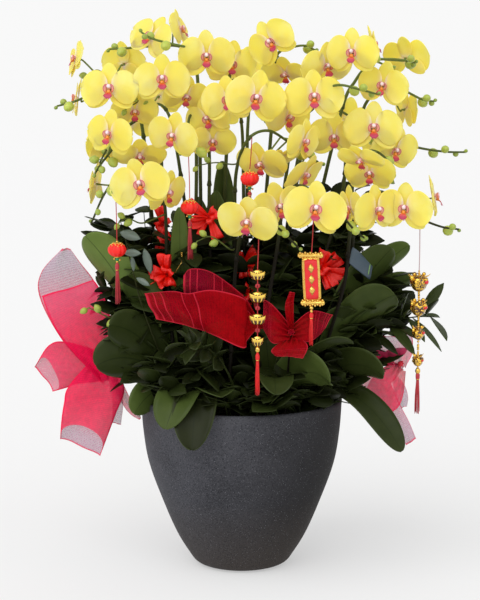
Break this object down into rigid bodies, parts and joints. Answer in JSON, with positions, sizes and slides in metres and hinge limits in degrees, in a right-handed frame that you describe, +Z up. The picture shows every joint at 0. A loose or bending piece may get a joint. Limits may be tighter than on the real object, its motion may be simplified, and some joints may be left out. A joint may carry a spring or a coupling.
{
  "type": "potted moth orchid",
  "caption": "Round dark pot of moth orchids: arching spikes of yellow blooms and buds over strap leaves, dressed with mesh bows, satin ties, lanterns and gold charms.",
  "frame": {"origin": "centre of the pot's flat foot", "axes": "+Z up out of the pot, +X to the right and -Y towards the viewer of the front"},
  "size_m": [0.7483, 0.5218, 0.9687],
  "materials": {
    "pot": "dark slate grey, matt, with a fine pale speckle",
    "bark": "rough dark bark and moss",
    "bloom": "soft waxy yellow petals with a magenta lip, on green stems",
    "leaf": "deep green, semi-gloss",
    "mesh_ribbon": "sheer red mesh with denser edges",
    "satin_ribbon": "bright red satin",
    "lantern": "red silk with gold caps",
    "silk": "red silk thread",
    "gold": "metallic gold",
    "card": "plain slate blue card"
  },
  "bodies": {
    "root": {"pot": "pot", "bark": "bark", "spike_left_upper": "bloom", "spike_left_top": "bloom", "spike_top_left": "bloom", "spike_left_far": "bloom", "spike_left_middle": "bloom", "spike_centre_left": "bloom", "spike_centre_top": "bloom", "spike_top_centre": "bloom", "spike_centre_right": "bloom", "spike_right_top_inner": "bloom", "spike_right_top_outer": "bloom", "spike_right_upper": "bloom", "spike_right_middle": "bloom", "spike_right_inner": "bloom", "spike_centre_low": "bloom", "spike_left_front": "bloom", "spike_front_middle": "bloom", "spike_front_low": "bloom", "spike_right_front": "bloom", "spike_back_left": "bloom", "spike_back_centre": "bloom", "spike_back_right": "bloom", "plant_left": "leaf", "plant_front_left": "leaf", "plant_front_right": "leaf", "plant_right": "leaf", "plant_right_rear": "leaf", "plant_rear": "leaf", "plant_left_rear": "leaf", "plant_middle": "leaf", "sprig_left": "leaf", "sprig_right": "leaf", "sprig_front": "leaf", "sprig_back_left": "leaf", "sprig_back_right": "leaf", "bow_left": "mesh_ribbon", "bow_right": "mesh_ribbon", "bow_front": "mesh_ribbon", "tie_left": "satin_ribbon", "tie_upper": "satin_ribbon", "tie_centre": "satin_ribbon", "tie_right": "satin_ribbon", "lantern_left_thread": "silk", "lantern_left": "lantern", "lantern_middle_thread": "silk", "lantern_middle": "lantern", "lantern_right_thread": "silk", "lantern_right": "lantern", "ingots_front_thread": "silk", "ingots_front": "gold", "ingots_front_tassel": "silk", "ingots_right_thread": "silk", "ingots_right": "gold", "ingots_right_tassel": "silk", "scroll_thread": "silk", "scroll": "gold", "scroll_tassel": "silk", "plant_tag": "card"}
  },
  "joints": []
}
